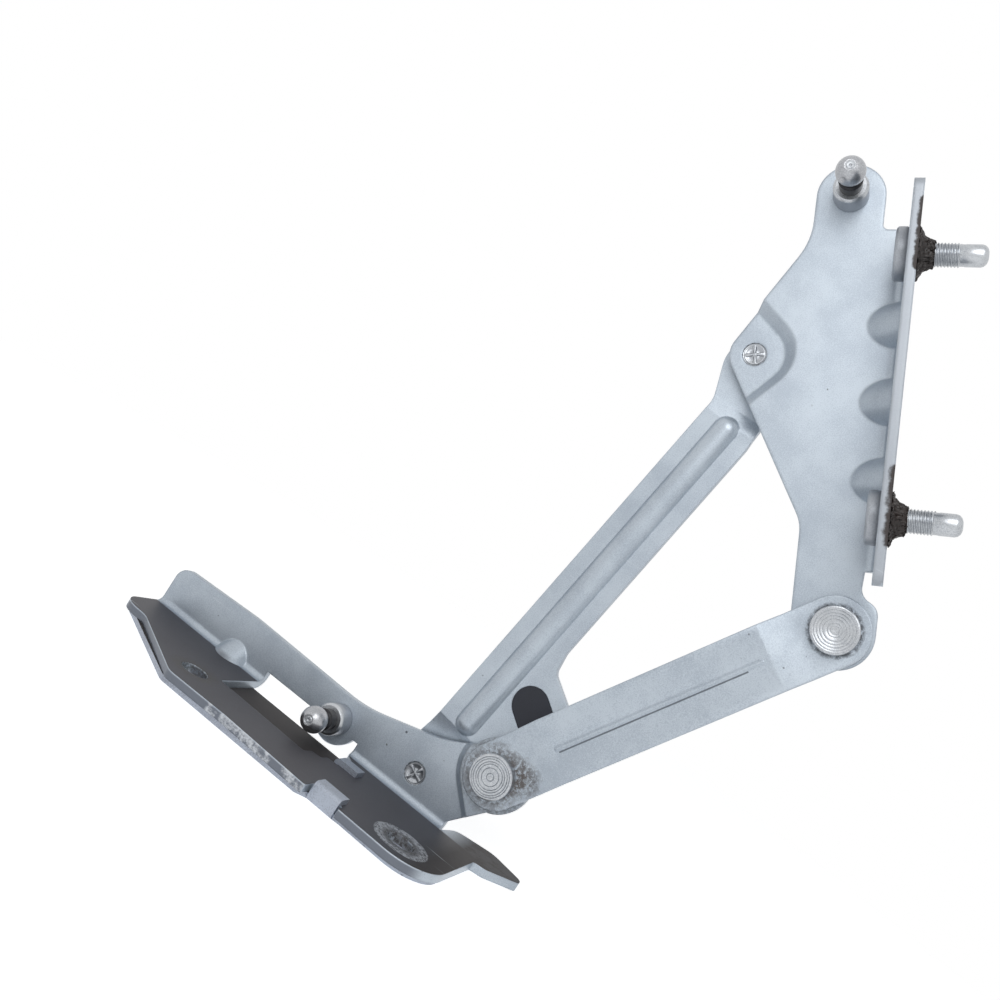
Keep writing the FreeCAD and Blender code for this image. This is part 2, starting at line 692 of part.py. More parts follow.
def short_base_rivet():
    """Head and shoulder of the short link's rivet on the base, which turn with the link."""
    seat_y = pad_front_y - face_gap / 2
    return rivet(short_pivot_x, short_pivot_z, short_end_front_y, seat_y, seat_y, seat_y)


def short_base_rivet_tail():
    """Tenon and closed tail of the same rivet, fast in the base bracket's pad."""
    tail_end_y = pad_back_y + rivet_tail_height
    profile = [
        (0, pad_front_y), (rivet_tenon_radius, pad_front_y), (rivet_tenon_radius, pad_back_y),
        (rivet_tail_radius, pad_back_y), (rivet_tail_radius, tail_end_y), (0, tail_end_y),
    ]
    return turned(profile, short_pivot_x, short_pivot_z)


def ring(x, z, inner_radius, outer_radius, y_start, y_end):
    """Plain ring along Y."""
    return disc(x, z, outer_radius, y_start, y_end).cut(disc(x, z, inner_radius, y_start, y_end))


def bush(x, z, y_start):
    """Bush pressed into a link's end."""
    inner = rivet_shoulder_radius + bore_clearance
    return ring(x, z, inner, inner + bush_wall, y_start, y_start + link_sheet)


def washer(x, z, y_start, thickness):
    """Thrust washer that lies against a link's end."""
    inner = rivet_shoulder_radius + bore_clearance
    return ring(x, z, inner, washer_outer_radius, y_start, y_start + thickness)


def ball_stud(x, z, seat_y, seat_back_y):
    """Ball stud for a gas spring: tenon, collar, neck, groove and ball, pointing to the front."""
    collar_end_y = seat_y - ball_collar_length
    centre_y = seat_y - ball_distance
    groove_angle = math.acos(ball_groove_radius / ball_radius)
    tip_angle = math.acos(ball_tip_radius / ball_radius)
    ball_back_y = centre_y + ball_radius * math.sin(groove_angle)
    tip_y = centre_y - ball_radius * math.sin(tip_angle)
    groove_start_y = ball_back_y + ball_groove_length
    start = [
        (0, seat_back_y + rivet_tail_height), (rivet_tail_radius, seat_back_y + rivet_tail_height),
        (rivet_tail_radius, seat_back_y), (ball_tenon_radius, seat_back_y), (ball_tenon_radius, seat_y),
        (ball_collar_radius, seat_y), (ball_collar_radius, collar_end_y + ball_collar_chamfer),
        (ball_collar_radius - ball_collar_chamfer, collar_end_y), (ball_neck_radius, collar_end_y),
        (ball_neck_radius, groove_start_y), (ball_groove_radius, groove_start_y - 0.5),
        (ball_groove_radius, ball_back_y),
    ]
    points = [FreeCAD.Vector(x + radius, y, z) for radius, y in start]
    edges = [Part.LineSegment(a, b).toShape() for a, b in zip(points, points[1:])]
    equator = FreeCAD.Vector(x + ball_radius, centre_y, z)
    tip = FreeCAD.Vector(x + ball_tip_radius, tip_y, z)
    end = FreeCAD.Vector(x, tip_y, z)
    edges.append(Part.Arc(points[-1], equator, tip).toShape())
    edges.append(Part.LineSegment(tip, end).toShape())
    edges.append(Part.LineSegment(end, points[0]).toShape())
    return Part.Face(Part.Wire(edges)).revolve(FreeCAD.Vector(x, 0, z), back, 360)


def lid_stud(z):
    """Stud pressed through the lid flange from inside, with a plain point that leads the nut on."""
    inner_x = lid_flange_inner_x
    outer_x = inner_x + bracket_sheet
    axis_y = pad_front_y - lid_stud_depth
    end_x = outer_x + lid_stud_length
    point_x = end_x - lid_stud_point_length
    profile = [
        (0, inner_x - lid_stud_head_height), (lid_stud_head_radius - 0.6, inner_x - lid_stud_head_height),
        (lid_stud_head_radius, inner_x - lid_stud_head_height + 0.6), (lid_stud_head_radius, inner_x),
        (lid_stud_tenon_radius, inner_x), (lid_stud_tenon_radius, outer_x),
        (lid_stud_radius, outer_x), (lid_stud_radius, point_x - 0.7),
        (lid_stud_point_radius, point_x), (lid_stud_point_radius, end_x), (0, end_x),
    ]
    points = [FreeCAD.Vector(x, axis_y + radius, z) for radius, x in profile]
    face = Part.Face(Part.makePolygon(points + points[:1]))
    stud = face.revolve(FreeCAD.Vector(0, axis_y, z), FreeCAD.Vector(1, 0, 0), 360)
    rim = [edge for edge in stud.Edges
           if abs(edge.BoundBox.XMin - end_x) < 1e-6 and abs(edge.BoundBox.XMax - end_x) < 1e-6
           and abs(edge.BoundBox.ZLength - 2 * lid_stud_point_radius) < 1e-3]
    return stud.makeFillet(lid_stud_tip_round, rim)


def on_long_link(shape):
    """Move a shape from the long link's frame to its place."""
    return placed(shape, long_pivot_x, long_pivot_z, long_link_open_angle)


def on_short_link(shape):
    """Move a shape from the short link's frame to its place."""
    return placed(shape, short_pivot_x, short_pivot_z, short_angle)


def on_lid(shape):
    """Move a shape from the lid bracket's frame to its place."""
    return placed(shape, lid_x, lid_z, lid_angle)


nodes = {
    "base_bracket": base_bracket(),
    "base_under_plate": base_under_plate(),
    "base_ball_stud": ball_stud(ball_lobe_x, ball_lobe_z, plate_front_y, plate_back_y),
    "base_long_rivet": long_rivet(long_pivot_x, long_pivot_z),
    "base_short_rivet_tail": short_base_rivet_tail(),
    "long_link": on_long_link(long_link()),
    "long_link_buffer": on_long_link(long_link_buffer()),
    "long_link_base_bush": bush(long_pivot_x, long_pivot_z, long_end_front_y),
    "long_link_base_washer": washer(long_pivot_x, long_pivot_z, plate_back_y + face_gap,
                                    long_washer_thickness),
    "long_link_lid_bush": bush(lid_x, lid_z, long_end_front_y),
    "long_link_lid_washer": washer(lid_x, lid_z, plate_back_y + face_gap, long_washer_thickness),
    "lid_bracket": on_lid(lid_bracket()),
    "lid_ball_stud": on_lid(ball_stud(lid_ball_x, lid_ball_z, pad_front_y, pad_back_y)),
    "lid_upper_stud": on_lid(lid_stud(upper_stud_z)),
    "lid_lower_stud": on_lid(lid_stud(lower_stud_z)),
    "lid_long_rivet": long_rivet(lid_x, lid_z),
    "lid_short_rivet": short_lid_rivet(),
    "short_link": on_short_link(short_link()),
    "short_link_base_bush": bush(short_pivot_x, short_pivot_z, short_end_front_y),
    "short_link_base_washer": washer(short_pivot_x, short_pivot_z, short_end_back_y,
                                     short_washer_thickness),
    "short_link_base_rivet": short_base_rivet(),
    "short_link_lid_bush": bush(low_x, low_z, short_end_front_y),
    "short_link_lid_washer": washer(low_x, low_z, short_end_back_y, short_washer_thickness),
}

os.makedirs("parts", exist_ok=True)
for name, shape in nodes.items():
    shape.exportStep("parts/" + name + ".step")
    print(name, "valid" if shape.isValid() else "NOT VALID", len(shape.Solids), round(shape.Volume, 1))
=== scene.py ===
import math
import bpy
from mathutils import Matrix, Vector


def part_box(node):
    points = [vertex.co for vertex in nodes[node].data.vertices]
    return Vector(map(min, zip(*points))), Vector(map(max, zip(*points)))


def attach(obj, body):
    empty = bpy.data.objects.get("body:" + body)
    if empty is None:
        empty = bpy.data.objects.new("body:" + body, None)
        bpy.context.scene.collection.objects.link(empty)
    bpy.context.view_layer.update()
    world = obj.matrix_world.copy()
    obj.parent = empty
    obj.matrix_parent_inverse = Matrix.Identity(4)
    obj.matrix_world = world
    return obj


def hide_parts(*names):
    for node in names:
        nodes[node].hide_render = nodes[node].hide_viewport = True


# A four-bar hinge for a vehicle's lid, raised, in its satin silver-blue paint. The frame gives
# its brackets, links and rivets. This file dresses them one by one, in the order in which the
# hinge is put together, and then sets the studio round them.
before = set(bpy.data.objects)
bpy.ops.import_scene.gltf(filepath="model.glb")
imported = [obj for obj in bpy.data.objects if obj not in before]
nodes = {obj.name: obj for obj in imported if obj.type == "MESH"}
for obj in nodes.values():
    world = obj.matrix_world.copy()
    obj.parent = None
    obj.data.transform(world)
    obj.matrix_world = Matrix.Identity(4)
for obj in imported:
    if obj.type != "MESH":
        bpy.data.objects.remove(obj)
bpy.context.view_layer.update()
MM = 0.001


# Base bracket: a 3 mm steel pressing whose flange bolts to the body and whose upright plate
# carries both links. Like the other pressings it takes the frame's shape, with its sheared
# edges eased by a small bevel as paint and tumbling leave them.
merge_distance = 0.002 * MM
flat_within = math.radians(0.7)
edge_beyond = math.radians(38)
smooth_within = math.radians(32)


def pressing(node_name, edge_radius):
    """Copy of a CAD node with merged faces, eased edges and smooth shading, in its place."""
    bpy.ops.object.select_all(action="DESELECT")
    node = nodes[node_name]
    piece = bpy.data.objects.new(node_name + "_sheet", node.data.copy())
    bpy.context.scene.collection.objects.link(piece)
    bpy.context.view_layer.objects.active = piece
    piece.select_set(True)
    bpy.ops.object.mode_set(mode="EDIT")
    bpy.ops.mesh.select_all(action="SELECT")
    bpy.ops.mesh.remove_doubles(threshold=merge_distance)
    bpy.ops.mesh.customdata_custom_splitnormals_clear()
    bpy.ops.mesh.dissolve_limited(angle_limit=flat_within)
    bpy.ops.object.mode_set(mode="OBJECT")
    bevel = piece.modifiers.new("eased edges", "BEVEL")
    bevel.width = edge_radius
    bevel.segments = 3
    bevel.limit_method = "ANGLE"
    bevel.angle_limit = edge_beyond
    bevel.use_clamp_overlap = True
    bpy.ops.object.modifier_apply(modifier=bevel.name)
    bpy.ops.object.shade_smooth_by_angle(angle=smooth_within)
    weights = piece.modifiers.new("flat faces stay flat", "WEIGHTED_NORMAL")
    weights.keep_sharp = True
    bpy.ops.object.modifier_apply(modifier=weights.name)
    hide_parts(node_name)
    return piece


def centre_of(node_name):
    """Middle of a CAD node's box, in metres."""
    low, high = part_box(node_name)
    return (Vector(low) + Vector(high)) / 2


def new_group(name, inputs, outputs):
    """Empty shader node group with float inputs (name, value) and float outputs."""
    group = bpy.data.node_groups.new(name, "ShaderNodeTree")
    for label, value in inputs:
        socket = group.interface.new_socket(name=label, in_out="INPUT", socket_type="NodeSocketFloat")
        socket.default_value = value
    for label in outputs:
        group.interface.new_socket(name=label, in_out="OUTPUT", socket_type="NodeSocketFloat")
    return group, group.nodes.new("NodeGroupInput"), group.nodes.new("NodeGroupOutput")


def math_node(tree, operation, first, second=0.0, clamp=False):
    """Math node whose inputs are numbers or sockets; gives its output socket."""
    node = tree.nodes.new("ShaderNodeMath")
    node.operation = operation
    node.use_clamp = clamp
    for socket, value in zip(node.inputs, (first, second)):
        if isinstance(value, bpy.types.NodeSocket):
            tree.links.new(value, socket)
        else:
            socket.default_value = value
    return node.outputs[0]


def ramp_between(tree, value, start, end):
    """0 at start, 1 at end and smooth between them, for a socket."""
    node = tree.nodes.new("ShaderNodeMapRange")
    node.interpolation_type = "SMOOTHSTEP"
    node.inputs["From Min"].default_value = start
    node.inputs["From Max"].default_value = end
    tree.links.new(value, node.inputs["Value"])
    return node.outputs["Result"]


def noise_at(tree, vector, scale, detail, roughness=0.55):
    """Noise texture's value on a vector socket."""
    node = tree.nodes.new("ShaderNodeTexNoise")
    node.inputs["Scale"].default_value = scale
    node.inputs["Detail"].default_value = detail
    node.inputs["Roughness"].default_value = roughness
    tree.links.new(vector, node.inputs["Vector"])
    return node.outputs["Fac"]


# The paint's own unevenness: a fine metallic grain, soft cloudy blotches, tiny dark specks
# where the coat is pitted, and hair scratches.
grain_group, entry, leave = new_group(
    "paint grain", [("Specks", 1.0), ("Scratches", 1.0)], ["Tone", "Speck", "Scratch", "Height"])
place = grain_group.nodes.new("ShaderNodeTexCoord").outputs["Object"]
flake = noise_at(grain_group, place, 2600, 2)
cloud = noise_at(grain_group, place, 55, 4, 0.6)
peel = noise_at(grain_group, place, 900, 2)
tone = math_node(grain_group, "ADD", math_node(grain_group, "MULTIPLY", flake, 0.55),
                 math_node(grain_group, "MULTIPLY", cloud, 0.45))
pits = grain_group.nodes.new("ShaderNodeTexVoronoi")
pits.inputs["Scale"].default_value = 190
grain_group.links.new(place, pits.inputs["Vector"])
pit_edge = math_node(grain_group, "ADD", pits.outputs["Distance"],
                     math_node(grain_group, "MULTIPLY", noise_at(grain_group, place, 700, 2), 0.16))
pit = math_node(grain_group, "SUBTRACT", 1.0, ramp_between(grain_group, pit_edge, 0.125, 0.16))
patchy = ramp_between(grain_group, noise_at(grain_group, place, 26, 2), 0.52, 0.62)
pit = math_node(grain_group, "MULTIPLY", pit, patchy)
speck = math_node(grain_group, "MULTIPLY", pit, entry.outputs["Specks"], clamp=True)
stretch = grain_group.nodes.new("ShaderNodeMapping")
stretch.inputs["Rotation"].default_value = (0.0, math.radians(38), 0.0)
stretch.inputs["Scale"].default_value = (30, 300, 620)
grain_group.links.new(place, stretch.inputs["Vector"])
hair = noise_at(grain_group, stretch.outputs["Vector"], 1.0, 3)
hair = ramp_between(grain_group, hair, 0.70, 0.78)
scratch = math_node(grain_group, "MULTIPLY", hair, entry.outputs["Scratches"], clamp=True)
height = math_node(grain_group, "MULTIPLY", peel, 0.5)
height = math_node(grain_group, "ADD", height, math_node(grain_group, "MULTIPLY", flake, 0.25))
height = math_node(grain_group, "SUBTRACT", height, speck)
for label, socket in (("Tone", tone), ("Speck", speck), ("Scratch", scratch), ("Height", height)):
    grain_group.links.new(socket, leave.inputs[label])

# Marks with a shape and a place. Plane holds 1 for each axis that a distance counts and 0 for one
# that it ignores, so a stain with a 0 in it runs right through the sheet along that axis.
def vector_inputs(group, inputs):
    """Adds vector inputs (name, value) to a group."""
    for label, value in inputs:
        socket = group.interface.new_socket(name=label, in_out="INPUT", socket_type="NodeSocketVector")
        socket.default_value = value


def vector_node(tree, operation, first, second, output="Vector"):
    """Vector math node whose inputs are vectors or sockets."""
    node = tree.nodes.new("ShaderNodeVectorMath")
    node.operation = operation
    for socket, value in zip(node.inputs, (first, second)):
        if isinstance(value, bpy.types.NodeSocket):
            tree.links.new(value, socket)
        else:
            socket.default_value = value
    return node.outputs[output]


# Ragged round stain about a point.
stain_group, entry, leave = new_group(
    "round stain", [("Inner", 0.008), ("Outer", 0.012), ("Ragged", 0.002)], ["Mask"])
vector_inputs(stain_group, [("Centre", (0, 0, 0)), ("Plane", (1, 0, 1))])
place = stain_group.nodes.new("ShaderNodeTexCoord").outputs["Object"]
away = vector_node(stain_group, "SUBTRACT", place, entry.outputs["Centre"])
away = vector_node(stain_group, "MULTIPLY", away, entry.outputs["Plane"])
length = stain_group.nodes.new("ShaderNodeVectorMath")
length.operation = "LENGTH"
stain_group.links.new(away, length.inputs[0])
ragged = math_node(stain_group, "SUBTRACT", noise_at(stain_group, place, 260, 5, 0.7), 0.5)
ragged = math_node(stain_group, "MULTIPLY", ragged, entry.outputs["Ragged"])
reach = math_node(stain_group, "ADD", length.outputs["Value"],
                  math_node(stain_group, "MULTIPLY", ragged, 4.0))
width = math_node(stain_group, "SUBTRACT", entry.outputs["Outer"], entry.outputs["Inner"])
along = math_node(stain_group, "SUBTRACT", reach, entry.outputs["Inner"])
along = math_node(stain_group, "DIVIDE", along, width)
within = math_node(stain_group, "SUBTRACT", 1.0, along, clamp=True)
mottle = ramp_between(stain_group, noise_at(stain_group, place, 900, 4, 0.7), 0.34, 0.6)
mask = math_node(stain_group, "POWER", within, 0.6)
mask = math_node(stain_group, "MULTIPLY", mask, mottle, clamp=True)
stain_group.links.new(mask, leave.inputs["Mask"])

# Zone of the faces that look one way, inside a box, with soft ends and patchy wear.
zone_group, entry, leave = new_group("face zone", [("Soft", 0.001), ("Patchy", 0.0)], ["Mask"])
vector_inputs(zone_group, [("Facing", (0, 0, 1)), ("Low", (-1, -1, -1)), ("High", (1, 1, 1))])
coordinates = zone_group.nodes.new("ShaderNodeTexCoord")
place = coordinates.outputs["Object"]
facing = vector_node(zone_group, "DOT_PRODUCT", coordinates.outputs["Normal"],
                     entry.outputs["Facing"], "Value")
mask = ramp_between(zone_group, facing, 0.55, 0.85)
for first, second in ((place, entry.outputs["Low"]), (entry.outputs["High"], place)):
    inside = vector_node(zone_group, "SUBTRACT", first, second)
    parts = zone_group.nodes.new("ShaderNodeSeparateXYZ")
    zone_group.links.new(inside, parts.inputs["Vector"])
    for axis in "XYZ":
        edge = math_node(zone_group, "DIVIDE", parts.outputs[axis], entry.outputs["Soft"], clamp=True)
        mask = math_node(zone_group, "MULTIPLY", mask, edge)
holes = ramp_between(zone_group, noise_at(zone_group, place, 170, 5, 0.75), 0.40, 0.56)
holes = math_node(zone_group, "SUBTRACT", 1.0, math_node(zone_group, "MULTIPLY", holes,
                                                       entry.outputs["Patchy"]))
mask = math_node(zone_group, "MULTIPLY", mask, holes, clamp=True)
zone_group.links.new(mask, leave.inputs["Mask"])


# Long stain on both sides of a line between two points.
streak_group, entry, leave = new_group(
    "long stain", [("Inner", 0.001), ("Outer", 0.003), ("Ragged", 0.001)], ["Mask"])
vector_inputs(streak_group, [("Start", (0, 0, 0)), ("End", (1, 0, 0)), ("Plane", (1, 0, 1))])
place = streak_group.nodes.new("ShaderNodeTexCoord").outputs["Object"]
from_start = vector_node(streak_group, "SUBTRACT", place, entry.outputs["Start"])
from_start = vector_node(streak_group, "MULTIPLY", from_start, entry.outputs["Plane"])
run = vector_node(streak_group, "SUBTRACT", entry.outputs["End"], entry.outputs["Start"])
run = vector_node(streak_group, "MULTIPLY", run, entry.outputs["Plane"])
share = math_node(streak_group, "DIVIDE",
                  vector_node(streak_group, "DOT_PRODUCT", from_start, run, "Value"),
                  vector_node(streak_group, "DOT_PRODUCT", run, run, "Value"), clamp=True)
reached = streak_group.nodes.new("ShaderNodeVectorMath")
reached.operation = "SCALE"
streak_group.links.new(run, reached.inputs[0])
streak_group.links.new(share, reached.inputs["Scale"])
away = vector_node(streak_group, "SUBTRACT", from_start, reached.outputs["Vector"])
length = streak_group.nodes.new("ShaderNodeVectorMath")
length.operation = "LENGTH"
streak_group.links.new(away, length.inputs[0])
ragged = math_node(streak_group, "SUBTRACT", noise_at(streak_group, place, 330, 5, 0.7), 0.5)
ragged = math_node(streak_group, "MULTIPLY", ragged, entry.outputs["Ragged"])
reach = math_node(streak_group, "ADD", length.outputs["Value"],
                  math_node(streak_group, "MULTIPLY", ragged, 4.0))
width = math_node(streak_group, "SUBTRACT", entry.outputs["Outer"], entry.outputs["Inner"])
along = math_node(streak_group, "SUBTRACT", reach, entry.outputs["Inner"])
along = math_node(streak_group, "DIVIDE", along, width, clamp=True)
along = ramp_between(streak_group, along, 0.0, 1.0)
mask = math_node(streak_group, "SUBTRACT", 1.0, along, clamp=True)
streak_group.links.new(mask, leave.inputs["Mask"])


def group_mask(tree, group, **values):
    """A mask group placed in a material with its own values."""
    node = tree.nodes.new("ShaderNodeGroup")
    node.node_tree = group
    for label, value in values.items():
        node.inputs[label.capitalize()].default_value = value
    return node.outputs["Mask"]


def mix_over(tree, under, over, fac):
    """Colour over laid on colour or socket under by a mask."""
    mix = tree.nodes.new("ShaderNodeMix")
    mix.data_type = "RGBA"
    sockets = {"under": mix.inputs[6], "over": mix.inputs[7]}
    for label, value in (("under", under), ("over", over)):
        if isinstance(value, bpy.types.NodeSocket):
            tree.links.new(value, sockets[label])
        else:
            sockets[label].default_value = (*value, 1)
    tree.links.new(fac, mix.inputs["Factor"])
    return mix.outputs[2]


pit_colour = (0.05, 0.055, 0.07)
scratch_colour = (0.85, 0.9, 0.95)
grain_depth = 0.12 * MM


def paint(name, colour, shade, roughness=0.36, metallic=0.5, specks=1.0, scratches=1.0,
          soft_crease=0.0, marks=()):
    """Satin metallic paint in two tones, with specks and scratches. Each mark is a group, its
    values, a colour, a strength and how far it takes the metal's gloss away."""
    material = bpy.data.materials.new(name)
    material.use_nodes = True
    tree = material.node_tree
    shader = tree.nodes["Principled BSDF"]
    grain = tree.nodes.new("ShaderNodeGroup")
    grain.node_tree = grain_group
    grain.inputs["Specks"].default_value = specks
    grain.inputs["Scratches"].default_value = scratches
    result = mix_over(tree, shade, colour, ramp_between(tree, grain.outputs["Tone"], 0.38, 0.60))
    dull = None
    for group, values, mark_colour, strength, matt in marks:
        fac = math_node(tree, "MULTIPLY", group_mask(tree, group, **values), strength, clamp=True)
        result = mix_over(tree, result, mark_colour, fac)
        fac = math_node(tree, "MULTIPLY", fac, matt)
        dull = fac if dull is None else math_node(tree, "MAXIMUM", dull, fac)
    result = mix_over(tree, result, pit_colour,
                      math_node(tree, "MULTIPLY", grain.outputs["Speck"], 0.8))
    result = mix_over(tree, result, scratch_colour,
                      math_node(tree, "MULTIPLY", grain.outputs["Scratch"], 0.3))
    tree.links.new(result, shader.inputs["Base Color"])
    rough = math_node(tree, "MULTIPLY", grain.outputs["Tone"], 0.12)
    rough = math_node(tree, "ADD", rough, roughness - 0.06)
    if dull is None:
        shader.inputs["Metallic"].default_value = metallic
    else:
        rough = math_node(tree, "ADD", rough, math_node(tree, "MULTIPLY", dull, 0.3))
        metal = math_node(tree, "MULTIPLY", math_node(tree, "SUBTRACT", 1.0, dull), metallic)
        tree.links.new(metal, shader.inputs["Metallic"])
    tree.links.new(rough, shader.inputs["Roughness"])
    bump = tree.nodes.new("ShaderNodeBump")
    bump.inputs["Strength"].default_value = 0.25
    bump.inputs["Distance"].default_value = grain_depth
    tree.links.new(grain.outputs["Height"], bump.inputs["Height"])
    if soft_crease > 0:
        crease = tree.nodes.new("ShaderNodeBevel")
        crease.samples = 6
        crease.inputs["Radius"].default_value = soft_crease
        tree.links.new(crease.outputs["Normal"], bump.inputs["Normal"])
    tree.links.new(bump.outputs["Normal"], shader.inputs["Normal"])
    return material


def finish_with(piece, material):
    """One material all over a piece."""
    piece.data.materials.clear()
    piece.data.materials.append(material)


silver = (0.55, 0.61, 0.67)
silver_shade = (0.42, 0.475, 0.54)
brown_dirt_and_shade = (0.10, 0.075, 0.06)
grey_pivot_shade = (0.17, 0.17, 0.18)
flange_grime_and_shade = (0.066, 0.065, 0.076)
tongue_grime_and_shade = (0.024, 0.020, 0.020)
painted_edge_shade = (0.15, 0.165, 0.20)
chipped_edge = (0.75, 0.78, 0.82)
washer_print = (0.60, 0.62, 0.66)
right_hole_grime = (0.035, 0.03, 0.028)
left_hole_grime = (0.06, 0.055, 0.045)
rivet_gap = (0.03, 0.03, 0.035)
bolt_reach = 49.0 * MM
flange_top = 5.2 * MM
base_long_pivot = centre_of("long_link_base_bush")
base_short_pivot = centre_of("short_link_base_bush")
lid_long_pivot = centre_of("long_link_lid_bush")
lid_short_pivot = centre_of("short_link_lid_bush")
across_y = (1, 0, 1)
across_z = (1, 1, 0)

base_bracket = pressing("base_bracket", 0.32 * MM)
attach(base_bracket, "base")
finish_with(base_bracket, paint(
    "base paint", silver, silver_shade, soft_crease=0.9 * MM,
    marks=[
        # Painted shade, with some grime: the flange's upward faces are darkened.
        (zone_group, dict(facing=(0, 0, 1), low=(-0.2, -0.1, -0.01), high=(0.2, 0.036, 0.0072),
                          soft=0.0012, patchy=0.0), flange_grime_and_shade, 1.0, 0.45),
        # Painted shade, with some grime: the tongue's upward faces past x = 50 mm are darkened further.
        (zone_group, dict(facing=(0, 0, 1), low=(0.05, -0.1, -0.05), high=(0.2, 0.1, 0.03),
                          soft=0.010, patchy=0.05), tongue_grime_and_shade, 1.0, 0.8),
        # Painted shade: the flange's front edge faces below 4.9 mm are darkened.
        (zone_group, dict(facing=(0, -1, 0), low=(-0.2, -0.1, -0.01), high=(0.2, 0.03, 0.0049),
                          soft=0.0003, patchy=0.0), painted_edge_shade, 0.9, 0.2),
        (zone_group, dict(facing=(0, -1, 0), low=(-0.03, -0.1, -0.01), high=(0.03, 0.03, 0.0080),
                          soft=0.0010, patchy=1.0), chipped_edge, 0.8, 0.0),
        (stain_group, dict(centre=(bolt_reach, 0, flange_top), plane=across_z, inner=0.0100, outer=0.0106,
                           ragged=0.0003), washer_print, 0.9, 0.0),
        (stain_group, dict(centre=(bolt_reach, 0, flange_top), plane=across_z, inner=0.0062, outer=0.0078,
                           ragged=0.0012), right_hole_grime, 0.9, 1.0),
        (stain_group, dict(centre=(-bolt_reach, 0, flange_top), plane=across_z, inner=0.0060, outer=0.0100,
                           ragged=0.0014), left_hole_grime, 0.7, 0.8),
        # Painted shade: a grey ring on the plate round the short link's base pivot, 11.9 to 15 mm out.
        (stain_group, dict(centre=base_short_pivot, plane=across_y, inner=11.9 * MM,
                           outer=15.0 * MM, ragged=1.5 * MM), grey_pivot_shade, 0.6, 0.8),
        (stain_group, dict(centre=base_long_pivot, plane=across_y, inner=4.2 * MM,
                           outer=4.4 * MM, ragged=0.1 * MM), rivet_gap, 0.9, 0.8),
    ]))

# Under-plate: a thinner pressing held under the flange by two tabs folded over it, darker and
# more worn because it lies against the body.
under_plate = pressing("base_under_plate", 0.2 * MM)
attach(under_plate, "base")
worn_paint = (0.42, 0.46, 0.53)
worn_shade = (0.28, 0.30, 0.35)
well_grime_and_shade = (0.045, 0.040, 0.040)
finish_with(under_plate, paint(
    "under-plate paint", worn_paint, worn_shade, roughness=0.45, metallic=0.7,
    # Painted shade, with some grime: the under-plate's upward faces are darkened.
    marks=[(zone_group, dict(facing=(0, 0, 1), low=(-0.2, -0.1, -0.01), high=(0.2, 0.1, 0.0035),
                             soft=0.0005, patchy=0.0), well_grime_and_shade, 1.0, 0.7)]))

# Long link: a 3 mm pressing behind the side plate with a half-round bead and a heel that holds
# the rubber buffer.
long_link = pressing("long_link", 0.3 * MM)
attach(long_link, "long_arm")
finish_with(long_link, paint("long link paint", silver, silver_shade, specks=0.6,
                             soft_crease=0.6 * MM))

# Lid bracket: plate with a set-back pivot pad, a ball boss and the studded flange.
lid_turn = math.radians(25.71)
lid_right = Vector((math.cos(lid_turn), 0, math.sin(lid_turn)))
lid_up = Vector((-math.sin(lid_turn), 0, math.cos(lid_turn)))
lid_origin = Vector((lid_long_pivot.x, 0, lid_long_pivot.z))


def lid_point(across, up):
    """Place on the lid bracket, in millimetres across and up its own frame from its long pivot."""
    return lid_origin + lid_right * across * MM + lid_up * up * MM


sealant_smear = (0.028, 0.018, 0.014)
worn_edge = (0.36, 0.38, 0.41)
upper_stud_up = 29.6
lower_stud_up = -57.3
lid_bracket = pressing("lid_bracket", 0.32 * MM)
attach(lid_bracket, "lid")
finish_with(lid_bracket, paint(
    "lid paint", silver, silver_shade, soft_crease=1.4 * MM,
    marks=[
        (stain_group, dict(centre=lid_point(56.2, upper_stud_up) + Vector((0, 0.014, 0)), plane=(1, 1, 1),
                           inner=9.0 * MM, outer=18.0 * MM, ragged=2.0 * MM),
         sealant_smear, 0.95, 1.0),
        (stain_group, dict(centre=lid_point(56.2, lower_stud_up) + Vector((0, 0.014, 0)), plane=(1, 1, 1),
                           inner=9.0 * MM, outer=18.0 * MM, ragged=2.0 * MM),
         sealant_smear, 0.95, 1.0),
        (stain_group, dict(centre=lid_long_pivot, plane=across_y, inner=4.1 * MM,
                           outer=4.35 * MM, ragged=0.1 * MM), rivet_gap, 0.9, 0.8),
        (streak_group, dict(start=lid_point(48.6, -79), end=lid_point(48.6, 47), plane=across_y,
                            inner=1.2 * MM, outer=1.9 * MM, ragged=0.25 * MM),
         worn_edge, 0.75, 0.3),
        (streak_group, dict(start=lid_point(50.4, 17), end=lid_point(50.4, 38), plane=across_y,
                            inner=1.0 * MM, outer=1.8 * MM, ragged=0.6 * MM),
         sealant_smear, 0.95, 1.0),
        (streak_group, dict(start=lid_point(50.4, -68), end=lid_point(50.4, -46), plane=across_y,
                            inner=0.9 * MM, outer=2.2 * MM, ragged=0.8 * MM),
         sealant_smear, 0.95, 1.0),
    ]))

# Short link in front, on its two shouldered rivets.
link_run = (lid_short_pivot - base_short_pivot).normalized()
link_across = Vector((-link_run.z, 0, link_run.x))


def link_point(along, across):
    """Place on the short link, in millimetres along it and across it from its base pivot."""
    return base_short_pivot + link_run * along * MM + link_across * across * MM


